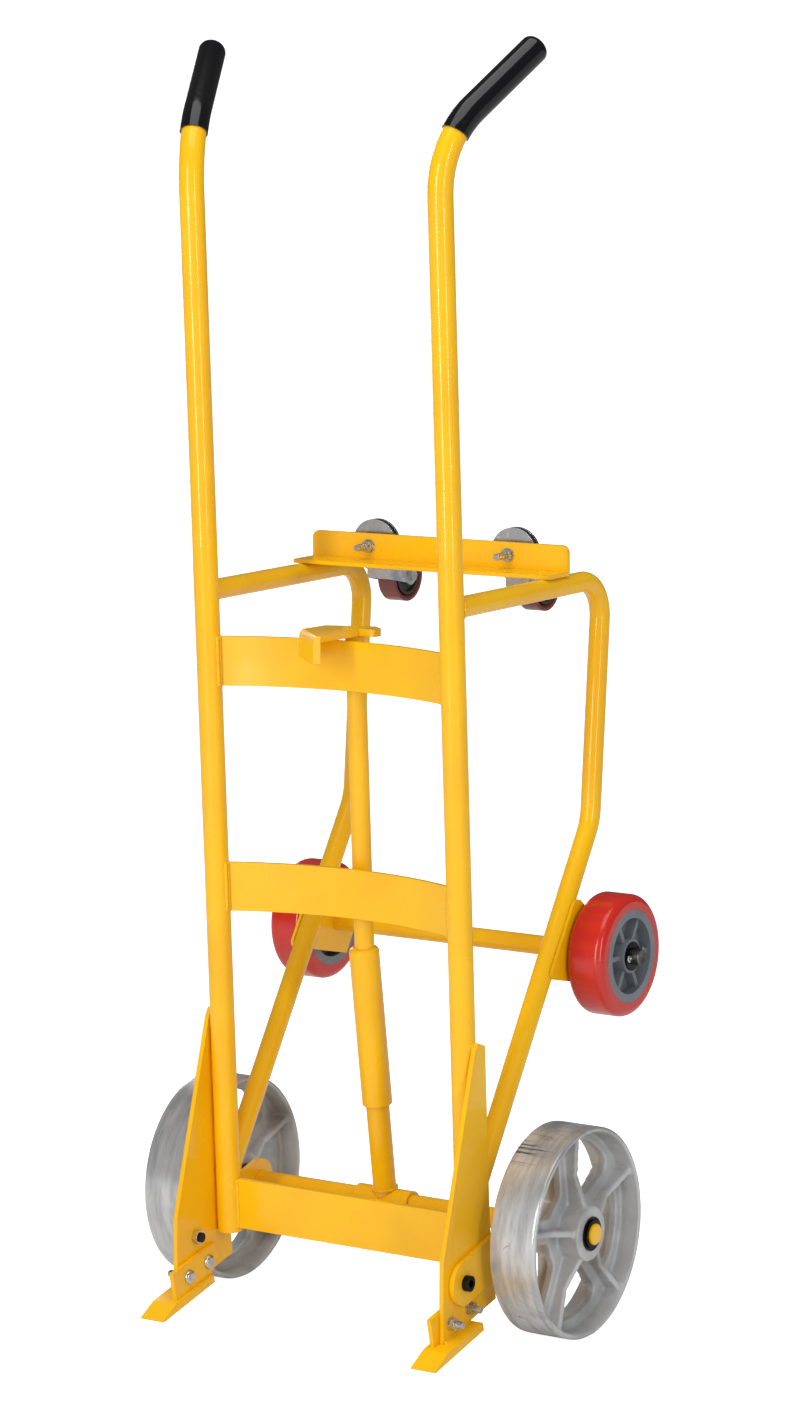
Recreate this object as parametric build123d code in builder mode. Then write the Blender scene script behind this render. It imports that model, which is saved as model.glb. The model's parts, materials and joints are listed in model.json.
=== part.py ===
from build123d import *
import os
from math import atan2, cos, degrees, hypot, radians, sin, tan

# Four-wheel drum hand truck with a chime hook. Millimetres and degrees, +Z up.
# The origin is on the floor below the middle of the main axle, -Y is the load side.
# The frame leans towards the load, because the truck stands on its main wheels and its toe tips.
# Frame places are (x, b, u): x across, b back from the main axle, u along the uprights from it.

os.makedirs("parts", exist_ok=True)
hands = {"left": -1, "right": 1}
gap = 0.05  # between pieces that are welded, bolted or pressed together
running = 0.05  # radial clearance of everything that turns or slides

# ---- frame -------------------------------------------------------------------------------
lean = 3.7
upright_x = 172.0
upright_b = -98.0
upright_dia = 30.0
upright_wall = 2.5
upright_bottom = -34.0
handle_corner = 1290.0
handle_bend = 120.0
handle_angle = 54.0
handle_flare = 22.7
handle_length = 172.0
grip_mouth = 36.0
grip_wall = 1.8
grip_end = 5.0
grip_round = 10.0

bar_height = 60.0
bar_thickness = 5.0
bar_bow = 35.5
upper_bar_bottom = 644.0
middle_bar_bottom = 368.0
lower_bar_bottom = -28.5
lower_bar_height = 62.5
lower_bar_thickness = 6.0

# ---- gussets, toes and axle links ----------------------------------------------------------
gusset_thickness = 6.0
gusset_top = 246.0
gusset_knee = 2.0
gusset_front = -186.0
gusset_slope_top_b = -105.0
gusset_rear = 15.5
gusset_heel = 29.0

toe_tip_b = -237.0
toe_length = 110.0
toe_slope = 10.2
toe_thickness = 10.0
toe_width = 34.0
toe_inset = 11.0
toe_chisel = 30.0
toe_edge = 1.5
flange_thickness = 6.0
flange_height = 35.0
flange_front = 38.0
flange_rear = 24.0

toe_bolt_dia = 8.0
toe_bolt_spacing = 42.0
toe_bolt_first = 68.0
toe_bolt_height = 17.0
toe_head_dia = 18.0
toe_head_height = 4.8
toe_bolt_proud = 9.0
washer_thickness = 1.6
small_nut_flats = 13.0
small_nut_height = 6.5

link_thickness = 7.0
link_radius = 27.0
link_bolt_b = -150.0
link_bolt_u = -30.0
link_bolt_dia = 12.0
link_head_dia = 19.0
link_head_height = 7.0
link_socket_flats = 9.0
link_socket_depth = 4.5
link_nut_flats = 16.0
link_nut_height = 7.5
link_bolt_proud = 3.0

# ---- main wheels ---------------------------------------------------------------------------
wheel_dia = 254.0
wheel_width = 62.0
spacer_length = 14.8
axle_dia = 25.4
axle_end = 4.0
hub_radius = 33.0
hub_half = 34.0
bush_wall = 4.0
rim_edge = 6.5
rim_draft = 2.0
web_thickness = 11.0
spokes = 5
spoke_turn = 167.0
spoke_half = 15.0
window_inner = 50.0
window_outer = 108.0
window_round = 13.0
rib_thickness = 8.0
rib_at_hub = 30.0
rib_at_rim = 25.0
rib_waist = 19.0
washer_dia = 41.0
ring_dia = 35.0
ring_thickness = 2.0

# ---- rear frame and rear wheels --------------------------------------------------------------
rear_tube_dia = 25.0
rear_tube_wall = 2.0
rear_tube_offset = 1.0
rear_top_u = 758.0
rear_corner = (244.5, 745.0)
rear_knee = (204.7, 451.0)
rear_foot_u = 36.5
rear_corner_bend = 45.0
rear_knee_bend = 60.0
rear_axle_b = 180.4
rear_axle_u = 293.9
rear_axle_dia = 20.0
rear_axle_tube_dia = 24.0
bracket_thickness = 4.0
bracket_below = 46.0
bracket_behind = 34.0
bracket_above = 72.0
bracket_round = 15.0

rear_wheel_dia = 150.0
rear_wheel_width = 50.0
tread_crown = 30.0
tread_depth = 18.0
rear_hub_lip = 10.5
rear_hub_boss = 21.0
rear_hub_recess = 17.0
rear_hub_ribs = 6
rear_hub_rib = 6.0
rear_bush_wall = 4.0
rear_washer_dia = 35.0
rear_washer_thickness = 2.0
rear_axle_proud = 12.0
pin_dia = 3.0
pin_splay = 7.0

# ---- caster angle and casters ------------------------------------------------------------------
angle_overhang = 11.2
angle_height = 36.5
angle_depth = 48.0
angle_thickness = 5.0
angle_front = 104.0
angle_round = 9.0
caster_x = 100.0
caster_rise = 21.0
stem_dia = 8.0
stem_proud = 20.0
shoulder_flats = 14.0
shoulder_length = 7.0
plate_radius = 32.0
plate_thickness = 3.0
ball_dia = 5.0
ball_pitch = 20.0
balls = 12
kingpin_dia = 10.0
kingpin_head = 16.0
fork_trail = 42.5
fork_reach = 50.0
fork_leg = 2.5
fork_leg_round = 12.0
pin_proud = 3.0
pin_head = 5.0
hub_boss = 8.0
hub_rim = 4.0
hub_recess = 3.0
caster_dia = 65.0
caster_width = 24.0
caster_tread = 8.0
caster_pin_dia = 8.0
fork_space = 1.5

# ---- chime-hook post -----------------------------------------------------------------------------
post_x = -7.0
post_lean = 5.6
collar_length = 78.0
collar_wall = 3.8
post_dia = 28.6
post_wall = 3.0
post_length = 270.0
sleeve_bottom = 127.0
sleeve_length = 200.0
sleeve_wall = 4.0
sleeve_plug = 38.0
sleeve_web = 5.0
sleeve_round = 6.0
hook_tube_dia = 24.0
hook_tube_wall = 2.3
hook_clear = 0.6
hook_thickness = 9.0
hook_lip = 33.0
hook_round = 4.0
hook_fold = 7.5

# ---- places that follow from the sizes above -------------------------------------------------------
axle_center = Vector(0, 0, wheel_dia / 2)
back = Vector(0, cos(radians(lean)), sin(radians(lean)))
up = Vector(0, -sin(radians(lean)), cos(radians(lean)))
upright_radius = upright_dia / 2
gusset_x = upright_x + upright_radius
link_x = gusset_x + gusset_thickness + gap
spacer_x = link_x + link_thickness + gap
wheel_inner_x = spacer_x + spacer_length + 2 * gap
wheel_x = wheel_inner_x + hub_half
wheel_outer_x = wheel_x + hub_half
rear_tube_x = upright_x + rear_tube_offset
bracket_x = rear_tube_x + rear_tube_dia / 2 + gap
rear_wheel_x = bracket_x + bracket_thickness + rear_washer_thickness + rear_wheel_width / 2 + 4 * gap


def at(x, b, u):
    """The point of the model at frame place (x, b, u)."""
    return axle_center + Vector(x, 0, 0) + back * b + up * u


def side_plane(x):
    """Plane across the truck at x: local x runs back, local y up the uprights."""
    return Plane(origin=at(x, 0, 0), x_dir=back, z_dir=(1, 0, 0))


def level_plane(u):
    """Plane square to the uprights at height u: local x runs across, local y back."""
    return Plane(origin=at(0, 0, u), x_dir=(1, 0, 0), z_dir=up)


def face_plane(b):
    """Plane along the uprights at depth b, facing the load: local x across, local y up."""
    return Plane(origin=at(0, b, 0), x_dir=(1, 0, 0), z_dir=-back)


def save(piece, name):
    """Label a finished piece and write it."""
    piece.part.label = name
    export_step(piece.part, f"parts/{name}.step")


def ring_pair(start_x, length, outer_dia, inner_dia, b=0.0, u=0.0):
    """One ring on each side of the truck, round a crosswise axis at (b, u)."""
    with BuildPart() as rings:
        for s in hands.values():
            with BuildSketch(side_plane(s * start_x)):
                with Locations((b, u)):
                    Circle(outer_dia / 2)
                    Circle(inner_dia / 2, mode=Mode.SUBTRACT)
            extrude(amount=s * length)
    return rings


# ---- uprights and grips --------------------------------------------------------------------------
bend_start = handle_corner - handle_bend * tan(radians(handle_angle / 2))


def handle_plane(s):
    """Plane of one upright and its handle: local x runs back and outwards, local y up."""
    flare = radians(handle_flare)
    outwards = Vector(s * sin(flare), 0, 0) + back * cos(flare)
    return Plane(origin=at(s * upright_x, upright_b, 0), x_dir=outwards, z_dir=outwards.cross(up))


def on_bend(angle):
    """Point of the handle bend after turning by angle, in the handle plane."""
    turned = radians(angle)
    return (handle_bend * (1 - cos(turned)), bend_start + handle_bend * sin(turned))


def handle_point(length):
    """Point on the straight handle, length past the bend's corner."""
    slope = radians(handle_angle)
    return (length * sin(slope), handle_corner + length * cos(slope))


for hand, s in hands.items():
    with BuildPart() as upright:
        with BuildLine(handle_plane(s)) as path:
            FilletPolyline(
                (0, upright_bottom), (0, handle_corner), handle_point(handle_length), radius=handle_bend
            )
        with BuildSketch(Plane(origin=path.line @ 0, z_dir=path.line % 0)):
            Circle(upright_radius)
            Circle(upright_radius - upright_wall, mode=Mode.SUBTRACT)
        sweep()
    save(upright, f"upright_{hand}")

    with BuildPart() as grip:
        with BuildLine(handle_plane(s)) as grip_path:
            ThreePointArc(
                on_bend(grip_mouth), on_bend((grip_mouth + handle_angle) / 2), on_bend(handle_angle)
            )
            Line(on_bend(handle_angle), handle_point(handle_length + grip_end))
        with BuildSketch(Plane(origin=grip_path.line @ 0, z_dir=grip_path.line % 0)):
            Circle(upright_radius + gap + grip_wall)
        sweep()
        fillet(grip.edges().sort_by(Axis.Z)[-1], radius=grip_round)
        with BuildLine(handle_plane(s)) as bore_path:
            FilletPolyline(
                (0, bend_start - handle_bend),
                (0, handle_corner),
                handle_point(handle_length + gap),
                radius=handle_bend,
            )
        with BuildSketch(Plane(origin=bore_path.line @ 0, z_dir=bore_path.line % 0)):
            Circle(upright_radius + gap)
        sweep(mode=Mode.SUBTRACT)
    save(grip, f"grip_{hand}")

# ---- crossbars -----------------------------------------------------------------------------------
bar_reach = upright_x + upright_radius / 2
bow_radius = (upright_x**2 + bar_bow**2) / (2 * bar_bow)
bow_center_b = upright_b + bar_bow - bow_radius


def bowed_bar(bottom):
    """Flat bar bowed back between the uprights, its ends coped round them."""
    with BuildPart() as bar:
        with BuildSketch(level_plane(bottom)):
            with Locations((0, bow_center_b)):
                Circle(bow_radius + bar_thickness / 2)
                Circle(bow_radius - bar_thickness / 2, mode=Mode.SUBTRACT)
            with Locations((0, upright_b + bar_bow / 2)):
                Rectangle(2 * bar_reach, 2 * bar_bow, mode=Mode.INTERSECT)
        extrude(amount=bar_height)
        with BuildSketch(level_plane(bottom)):
            with Locations((-upright_x, upright_b), (upright_x, upright_b)):
                Circle(upright_radius + gap)
        extrude(amount=bar_height, mode=Mode.SUBTRACT)
    return bar


save(bowed_bar(upper_bar_bottom), "upper_crossbar")
save(bowed_bar(middle_bar_bottom), "middle_crossbar")

with BuildPart() as lower_crossbar:
    with BuildSketch(level_plane(lower_bar_bottom)):
        with Locations((0, upright_b)):
            Rectangle(2 * upright_x, lower_bar_thickness)
        with Locations((-upright_x, upright_b), (upright_x, upright_b)):
            Circle(upright_radius + gap, mode=Mode.SUBTRACT)
    extrude(amount=lower_bar_height)
save(lower_crossbar, "lower_crossbar")

# ---- toe prongs ----------------------------------------------------------------------------------
# The tip's lower edge touches the floor, so its height follows from the wheel and the lean.
toe_tip_u = -(wheel_dia / 2 + toe_tip_b * sin(radians(lean))) / cos(radians(lean))


def toe_plane(x):
    """Plane of one toe at x: local x runs back along its sole from the tip, local y square to it."""
    slope = radians(toe_slope)
    along = back * cos(slope) + up * sin(slope)
    return Plane(origin=at(x, toe_tip_b, toe_tip_u), x_dir=along, z_dir=(1, 0, 0))


def toe_place(along, above):
    """Frame (b, u) of a point on the toe, along its sole from the tip and above the foot."""
    slope = radians(toe_slope)
    height = toe_thickness + above
    return (
        toe_tip_b + along * cos(slope) - height * sin(slope),
        toe_tip_u + along * sin(slope) + height * cos(slope),
    )


toe_inner_x = gusset_x - toe_inset
toe_bolts_along = [toe_bolt_first, toe_bolt_first + toe_bolt_spacing]
flange_x = gusset_x - flange_thickness - gap

for hand, s in hands.items():
    with BuildPart() as toe:
        with BuildSketch(toe_plane(s * toe_inner_x)):
            with BuildLine():
                Polyline(
                    (0, 0),
                    (toe_length, 0),
                    (toe_length, toe_thickness),
                    (toe_chisel, toe_thickness),
                    (0, toe_edge),
                    close=True,
                )
            make_face()
        extrude(amount=s * toe_width)
        with BuildSketch(toe_plane(s * flange_x)):
            with BuildLine():
                Polyline(
                    (flange_front, toe_thickness),
                    (toe_length, toe_thickness),
                    (toe_length + flange_rear, toe_thickness + flange_height / 3),
                    (toe_length + flange_rear - 6, toe_thickness + flange_height),
                    (flange_front, toe_thickness + flange_height),
                    close=True,
                )
            make_face()
            with Locations(*[(along, toe_thickness + toe_bolt_height) for along in toe_bolts_along]):
                Circle(toe_bolt_dia / 2 + running, mode=Mode.SUBTRACT)
        extrude(amount=s * flange_thickness)
    save(toe, f"toe_prong_{hand}")

toe_bolt_places = [toe_place(along, toe_bolt_height) for along in toe_bolts_along]
toe_washer_x = gusset_x + gusset_thickness + gap
toe_nut_x = toe_washer_x + washer_thickness + gap

with BuildPart() as toe_bolts:
    for s in hands.values():
        for b, u in toe_bolt_places:
            with BuildSketch(side_plane(s * (flange_x - gap))):
                with Locations((b, u)):
                    Circle(toe_head_dia / 2)
            extrude(amount=-s * toe_head_height)
            head_edges = toe_bolts.edges(Select.LAST).group_by(Axis.X)
            fillet(head_edges[0 if s > 0 else -1], radius=toe_head_height * 0.85)
            with BuildSketch(side_plane(s * (flange_x - gap))):
                with Locations((b, u)):
                    Circle(toe_bolt_dia / 2)
            extrude(amount=s * (toe_nut_x + small_nut_height + toe_bolt_proud - flange_x))
save(toe_bolts, "toe_bolts")

with BuildPart() as toe_washers:
    for s in hands.values():
        with BuildSketch(side_plane(s * toe_washer_x)):
            with Locations(*toe_bolt_places):
                Circle(toe_bolt_dia + 0.5)
                Circle(toe_bolt_dia / 2 + running, mode=Mode.SUBTRACT)
        extrude(amount=s * washer_thickness)
save(toe_washers, "toe_washers")

with BuildPart() as toe_nuts:
    for s in hands.values():
        with BuildSketch(side_plane(s * toe_nut_x)):
            with Locations(*toe_bolt_places):
                RegularPolygon(small_nut_flats / 2, 6, major_radius=False)
                Circle(toe_bolt_dia / 2 + running, mode=Mode.SUBTRACT)
        extrude(amount=s * small_nut_height)
save(toe_nuts, "toe_nuts")

# ---- gusset plates -------------------------------------------------------------------------------
gusset_foot_front = toe_place(toe_chisel + 18, gap)
gusset_foot_rear = toe_place(toe_length + 2 * gusset_heel, gap)

for hand, s in hands.items():
    with BuildPart() as gusset:
        with BuildSketch(side_plane(s * gusset_x)):
            with BuildLine():
                Polyline(
                    gusset_foot_front,
                    (gusset_front, gusset_knee),
                    (gusset_slope_top_b, gusset_top - 10),
                    (upright_b, gusset_top),
                    (upright_b + gusset_rear, gusset_top - 7),
                    (upright_b + gusset_rear, gusset_knee + 20),
                    gusset_foot_rear,
                    close=True,
                )
            make_face()
            with Locations(*toe_bolt_places):
                Circle(toe_bolt_dia / 2 + running, mode=Mode.SUBTRACT)
            with Locations((link_bolt_b, link_bolt_u)):
                Circle(link_bolt_dia / 2 + running, mode=Mode.SUBTRACT)
        extrude(amount=s * gusset_thickness)
    save(gusset, f"gusset_{hand}")

# ---- axle links, their bolts and nuts --------------------------------------------------------------
link_span = hypot(link_bolt_b, link_bolt_u)
link_angle = degrees(atan2(link_bolt_u, link_bolt_b))

for hand, s in hands.items():
    with BuildPart() as link:
        with BuildSketch(side_plane(s * link_x)):
            with Locations((link_bolt_b / 2, link_bolt_u / 2)):
                SlotCenterToCenter(link_span, 2 * link_radius, rotation=link_angle)
            with Locations((link_bolt_b, link_bolt_u)):
                Circle(link_bolt_dia / 2 + running, mode=Mode.SUBTRACT)
            Circle(axle_dia / 2 + gap, mode=Mode.SUBTRACT)
        extrude(amount=s * link_thickness)
    save(link, f"axle_link_{hand}")

link_head_x = link_x + link_thickness + gap
link_nut_x = gusset_x - gap

with BuildPart() as link_bolts:
    for s in hands.values():
        with BuildSketch(side_plane(s * link_head_x)):
            with Locations((link_bolt_b, link_bolt_u)):
                Circle(link_head_dia / 2)
        extrude(amount=s * link_head_height)
        with BuildSketch(side_plane(s * (link_head_x + link_head_height))):
            with Locations((link_bolt_b, link_bolt_u)):
                RegularPolygon(link_socket_flats / 2, 6, major_radius=False)
        extrude(amount=-s * link_socket_depth, mode=Mode.SUBTRACT)
        with BuildSketch(side_plane(s * link_head_x)):
            with Locations((link_bolt_b, link_bolt_u)):
                Circle(link_bolt_dia / 2)
        extrude(amount=-s * (link_head_x - link_nut_x + link_nut_height + link_bolt_proud))
save(link_bolts, "link_bolts")

with BuildPart() as link_nuts:
    for s in hands.values():
        with BuildSketch(side_plane(s * link_nut_x)):
            with Locations((link_bolt_b, link_bolt_u)):
                RegularPolygon(link_nut_flats / 2, 6, major_radius=False)
                Circle(link_bolt_dia / 2 + running, mode=Mode.SUBTRACT)
        extrude(amount=-s * link_nut_height)
save(link_nuts, "link_nuts")

# ---- main axle and wheels --------------------------------------------------------------------------
washer_x = wheel_outer_x + 2 * gap
ring_x = washer_x + washer_thickness + gap
axle_half = ring_x + ring_thickness + axle_end

with BuildPart() as axle:
    with BuildSketch(side_plane(-axle_half)):
        Circle(axle_dia / 2)
    extrude(amount=2 * axle_half)
    chamfer(axle.edges().filter_by(GeomType.CIRCLE), length=1.5)
save(axle, "axle")

wheel_radius = wheel_dia / 2
bush_radius = axle_dia / 2 + running + bush_wall
half_pitch = radians(180 / spokes)
window_tip = spoke_half / sin(half_pitch)


def wheel_section(x):
    """Plane through the main axle at x: local x runs across, local y out from the axle."""
    return Plane(origin=at(x, 0, 0), x_dir=(1, 0, 0), z_dir=-back)


for hand, s in hands.items():
    center_x = s * wheel_x
    main_axis = Axis(at(center_x, 0, 0), (1, 0, 0))
    with BuildPart() as wheel:
        with BuildSketch(wheel_section(center_x)):
            with BuildLine():
                Polyline(
                    (-wheel_width / 2, wheel_radius),
                    (wheel_width / 2, wheel_radius),
                    (wheel_width / 2, wheel_radius - rim_edge),
                    (0, wheel_radius - rim_edge - rim_draft),
                    (-wheel_width / 2, wheel_radius - rim_edge),
                    close=True,
                )
            make_face()
            with Locations((0, (window_outer + wheel_radius) / 2 - 1)):
                Rectangle(web_thickness, wheel_radius - window_outer)
            with Locations((0, window_outer / 2)):
                Rectangle(web_thickness, window_outer)
            with Locations((0, (hub_radius + bush_radius) / 2)):
                Rectangle(2 * hub_half, hub_radius - bush_radius)
            with Locations((0, bush_radius / 2)):
                Rectangle(web_thickness, bush_radius, mode=Mode.SUBTRACT)
        revolve(axis=main_axis)
        fillet(wheel.edges().filter_by(GeomType.CIRCLE).group_by(SortBy.RADIUS)[-1], radius=2.5)
        with BuildSketch(side_plane(center_x)) as windows:
            for window in range(spokes):
                middle = radians(spoke_turn + (window + 0.5) * 360 / spokes)
                tip = Vector(cos(middle), sin(middle)) * window_tip
                sides = [middle - half_pitch, middle + half_pitch]
                corners = [tip + Vector(cos(side), sin(side)) * wheel_dia for side in sides]
                with BuildLine():
                    Polyline(tip, *corners, close=True)
                make_face()
            Circle(window_outer, mode=Mode.INTERSECT)
            Circle(window_inner, mode=Mode.SUBTRACT)
            fillet(windows.vertices(), radius=window_round)
        extrude(amount=web_thickness, both=True, mode=Mode.SUBTRACT)
        for spoke in range(spokes):
            turn = spoke_turn + spoke * 360 / spokes
            out = back * cos(radians(turn)) + up * sin(radians(turn))
            with BuildSketch(Plane(at(center_x, 0, 0), x_dir=(1, 0, 0), z_dir=Vector(1, 0, 0).cross(out))):
                with BuildLine():
                    Polyline(
                        (-rib_at_hub, hub_radius - 1),
                        (rib_at_hub, hub_radius - 1),
                        (rib_waist, (hub_radius + window_outer) / 2),
                        (rib_at_rim, wheel_radius - rim_edge),
                        (-rib_at_rim, wheel_radius - rim_edge),
                        (-rib_waist, (hub_radius + window_outer) / 2),
                        close=True,
                    )
                make_face()
            extrude(amount=rib_thickness / 2, both=True)
    save(wheel, f"main_wheel_{hand}")

    with BuildPart() as bush:
        with BuildSketch(side_plane(s * wheel_inner_x)):
            Circle(bush_radius - gap)
            Circle(axle_dia / 2 + running, mode=Mode.SUBTRACT)
        extrude(amount=s * 2 * hub_half)
    save(bush, f"main_bush_{hand}")

save(ring_pair(spacer_x, spacer_length, 2 * bush_radius, axle_dia + 2 * gap), "main_spacers")
save(ring_pair(washer_x, washer_thickness, washer_dia, axle_dia + 2 * gap), "main_washers")
save(ring_pair(ring_x, ring_thickness, ring_dia, axle_dia + 2 * gap), "retaining_rings")

# ---- rear tubes --------------------------------------------------------------------------------------
rear_radius = rear_tube_dia / 2

for hand, s in hands.items():
    with BuildPart() as rear_tube:
        with BuildLine(side_plane(s * rear_tube_x)) as path:
            FilletPolyline(
                (upright_b, rear_top_u),
                rear_corner,
                rear_knee,
                (upright_b, rear_foot_u),
                radius=[rear_corner_bend, rear_knee_bend],
            )
        with BuildSketch(Plane(origin=path.line @ 0, z_dir=path.line % 0)):
            Circle(rear_radius)
            Circle(rear_radius - rear_tube_wall, mode=Mode.SUBTRACT)
        sweep()
        with BuildSketch(level_plane(upright_bottom)):
            with Locations((s * upright_x, upright_b - upright_radius)):
                Rectangle(upright_dia + 1, upright_dia)
            with Locations((s * upright_x, upright_b)):
                Circle(upright_radius + gap)
        extrude(amount=rear_top_u + 4 * rear_tube_dia, mode=Mode.SUBTRACT)
    save(rear_tube, f"rear_tube_{hand}")

# ---- rear axle, its tube and brackets ------------------------------------------------------------------
diagonal = Vector(rear_knee[0] - upright_b, rear_knee[1] - rear_foot_u).normalized()


def on_diagonal(u):
    """Depth b of the diagonal run's centre line at height u."""
    return rear_knee[0] - (rear_knee[1] - u) * diagonal.X / diagonal.Y


for hand, s in hands.items():
    with BuildPart() as bracket:
        with BuildSketch(side_plane(s * bracket_x)) as outline:
            low = rear_axle_u - bracket_below / 2
            high = rear_axle_u + bracket_above
            rear = rear_axle_b + bracket_behind
            with BuildLine():
                Polyline(
                    (on_diagonal(low + 10) - rear_radius / 2, low + 12),
                    (rear - bracket_behind / 2, rear_axle_u - bracket_below),
                    (rear, rear_axle_u - bracket_below / 2),
                    (rear - 8, rear_axle_u + bracket_below / 2),
                    (on_diagonal(high) + rear_radius / 2, high),
                    (on_diagonal(high) - rear_radius / 2, high),
                    close=True,
                )
            make_face()
            fillet(outline.vertices().group_by(Axis(at(0, 0, 0), back))[-3:], radius=bracket_round / 2)
            with Locations((rear_axle_b, rear_axle_u)):
                Circle(rear_axle_dia / 2 + gap, mode=Mode.SUBTRACT)
        extrude(amount=s * bracket_thickness)
    save(bracket, f"rear_bracket_{hand}")

with BuildPart() as rear_axle_tube:
    with BuildSketch(side_plane(gap - bracket_x)):
        with Locations((rear_axle_b, rear_axle_u)):
            Circle(rear_axle_tube_dia / 2)
            Circle(rear_axle_dia / 2 + gap, mode=Mode.SUBTRACT)
    extrude(amount=2 * (bracket_x - gap))
save(rear_axle_tube, "rear_axle_tube")

rear_inner_x = rear_wheel_x - rear_wheel_width / 2
rear_outer_x = rear_wheel_x + rear_wheel_width / 2
rear_washer_x = rear_outer_x + 2 * gap
pin_x = rear_washer_x + rear_washer_thickness + pin_dia
rear_axle_half = rear_washer_x + rear_washer_thickness + rear_axle_proud
rear_center = (rear_axle_b, rear_axle_u)

with BuildPart() as rear_axle:
    with BuildSketch(side_plane(-rear_axle_half)):
        with Locations(rear_center):
            Circle(rear_axle_dia / 2)
    extrude(amount=2 * rear_axle_half)
    chamfer(rear_axle.edges().filter_by(GeomType.CIRCLE), length=1.0)
    with BuildSketch(face_plane(rear_axle_b)):
        with Locations((-pin_x, rear_axle_u), (pin_x, rear_axle_u)):
            Circle(pin_dia / 2 + running)
    extrude(amount=rear_axle_dia, both=True, mode=Mode.SUBTRACT)
save(rear_axle, "rear_axle")

with BuildPart() as split_pins:
    for s in hands.values():
        eye_b = rear_axle_b - rear_axle_dia / 2 - 1.5 * pin_dia
        bend_b = rear_axle_b + rear_axle_dia / 2 + pin_dia
        with Locations(Plane(origin=at(s * pin_x, eye_b, rear_axle_u), z_dir=(1, 0, 0))):
            Torus(pin_dia, pin_dia / 2)
        for rise in (pin_splay, -pin_splay):
            with BuildLine(side_plane(s * pin_x)) as leg:
                FilletPolyline(
                    (eye_b + pin_dia, rear_axle_u),
                    (bend_b, rear_axle_u),
                    (bend_b + pin_splay, rear_axle_u + rise),
                    radius=pin_dia,
                )
            with BuildSketch(Plane(origin=leg.line @ 0, z_dir=leg.line % 0)):
                Circle(pin_dia / 2)
            sweep()
save(split_pins, "split_pins")

# ---- rear wheels -----------------------------------------------------------------------------------------
rear_wheel_radius = rear_wheel_dia / 2
rear_hub_radius = rear_wheel_radius - tread_depth
rear_bush_radius = rear_axle_dia / 2 + running + rear_bush_wall
recess_outer = rear_hub_radius - rear_hub_lip
half = rear_wheel_width / 2

for hand, s in hands.items():
    center_x = s * rear_wheel_x
    rear_axis = Axis(at(center_x, *rear_center), (1, 0, 0))
    rear_section = Plane(origin=at(center_x, *rear_center), x_dir=(1, 0, 0), z_dir=-back)

    with BuildPart() as tread:
        with BuildSketch(rear_section):
            with BuildLine():
                Line((-half, rear_hub_radius + gap), (half, rear_hub_radius + gap))
                Line((half, rear_hub_radius + gap), (half, rear_wheel_radius - tread_depth / 2))
                ThreePointArc(
                    (half, rear_wheel_radius - tread_depth / 2),
                    (half - 2.5, rear_wheel_radius - 3.5),
                    (tread_crown / 2, rear_wheel_radius),
                )
                Line((tread_crown / 2, rear_wheel_radius), (-tread_crown / 2, rear_wheel_radius))
                ThreePointArc(
                    (-tread_crown / 2, rear_wheel_radius),
                    (2.5 - half, rear_wheel_radius - 3.5),
                    (-half, rear_wheel_radius - tread_depth / 2),
                )
                Line((-half, rear_wheel_radius - tread_depth / 2), (-half, rear_hub_radius + gap))
            make_face()
        revolve(axis=rear_axis)
    save(tread, f"rear_tread_{hand}")

    with BuildPart() as hub:
        with BuildSketch(rear_section):
            with Locations((0, rear_hub_radius / 2)):
                Rectangle(rear_wheel_width, rear_hub_radius)
            for side in (-1, 1):
                with Locations((side * (half - rear_hub_recess / 2), (recess_outer + rear_hub_boss) / 2)):
                    Rectangle(rear_hub_recess, recess_outer - rear_hub_boss, mode=Mode.SUBTRACT)
            with Locations((0, rear_bush_radius / 2)):
                Rectangle(rear_wheel_width, rear_bush_radius, mode=Mode.SUBTRACT)
        revolve(axis=rear_axis)
        for side in (-1, 1):
            with BuildSketch(side_plane(center_x + side * (half - rear_hub_recess))):
                with Locations(rear_center):
                    with PolarLocations((recess_outer + rear_hub_boss) / 2, rear_hub_ribs, start_angle=-lean):
                        Rectangle(recess_outer - rear_hub_boss + 2, rear_hub_rib)
            extrude(amount=side * (rear_hub_recess - 5))
    save(hub, f"rear_hub_{hand}")

    with BuildPart() as bush:
        with BuildSketch(side_plane(s * rear_inner_x)):
            with Locations(rear_center):
                Circle(rear_bush_radius - gap)
                Circle(rear_axle_dia / 2 + running, mode=Mode.SUBTRACT)
        extrude(amount=s * rear_wheel_width)
    save(bush, f"rear_bush_{hand}")

with BuildPart() as rear_washers:
    for s in hands.values():
        for start in (rear_washer_x, rear_inner_x - rear_washer_thickness - 2 * gap):
            with BuildSketch(side_plane(s * start)):
                with Locations(rear_center):
                    Circle(rear_washer_dia / 2)
                    Circle(rear_axle_dia / 2 + gap, mode=Mode.SUBTRACT)
            extrude(amount=s * rear_washer_thickness)
save(rear_washers, "rear_washers")

# ---- caster angle ------------------------------------------------------------------------------------------
# The angle lies on the top runs of the rear tubes, which drop a little towards the back.
top_slope = degrees(atan2(rear_top_u - rear_corner[1], rear_corner[0] - upright_b))
run = back * cos(radians(top_slope)) - up * sin(radians(top_slope))
rise = up * cos(radians(top_slope)) + back * sin(radians(top_slope))
tube_top_u = rear_top_u - (angle_front - upright_b) * tan(radians(top_slope))
angle_low = tube_top_u + (rear_radius + 2 * gap) / cos(radians(top_slope))
angle_half = upright_x + angle_overhang
angle_face = angle_depth - angle_thickness


def angle_side(x):
    """Plane across the truck at x: local x runs back along the angle, local y square to its flange."""
    return Plane(origin=at(x, angle_front, angle_low), x_dir=run, z_dir=(1, 0, 0))


def stem_plane(depth):
    """Plane square to the caster stems, depth behind the angle's front edge, centred on their height."""
    return Plane(origin=stem_origin + run * depth, x_dir=(1, 0, 0), z_dir=-run)


stem_origin = at(0, angle_front, angle_low) + rise * caster_rise

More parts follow.
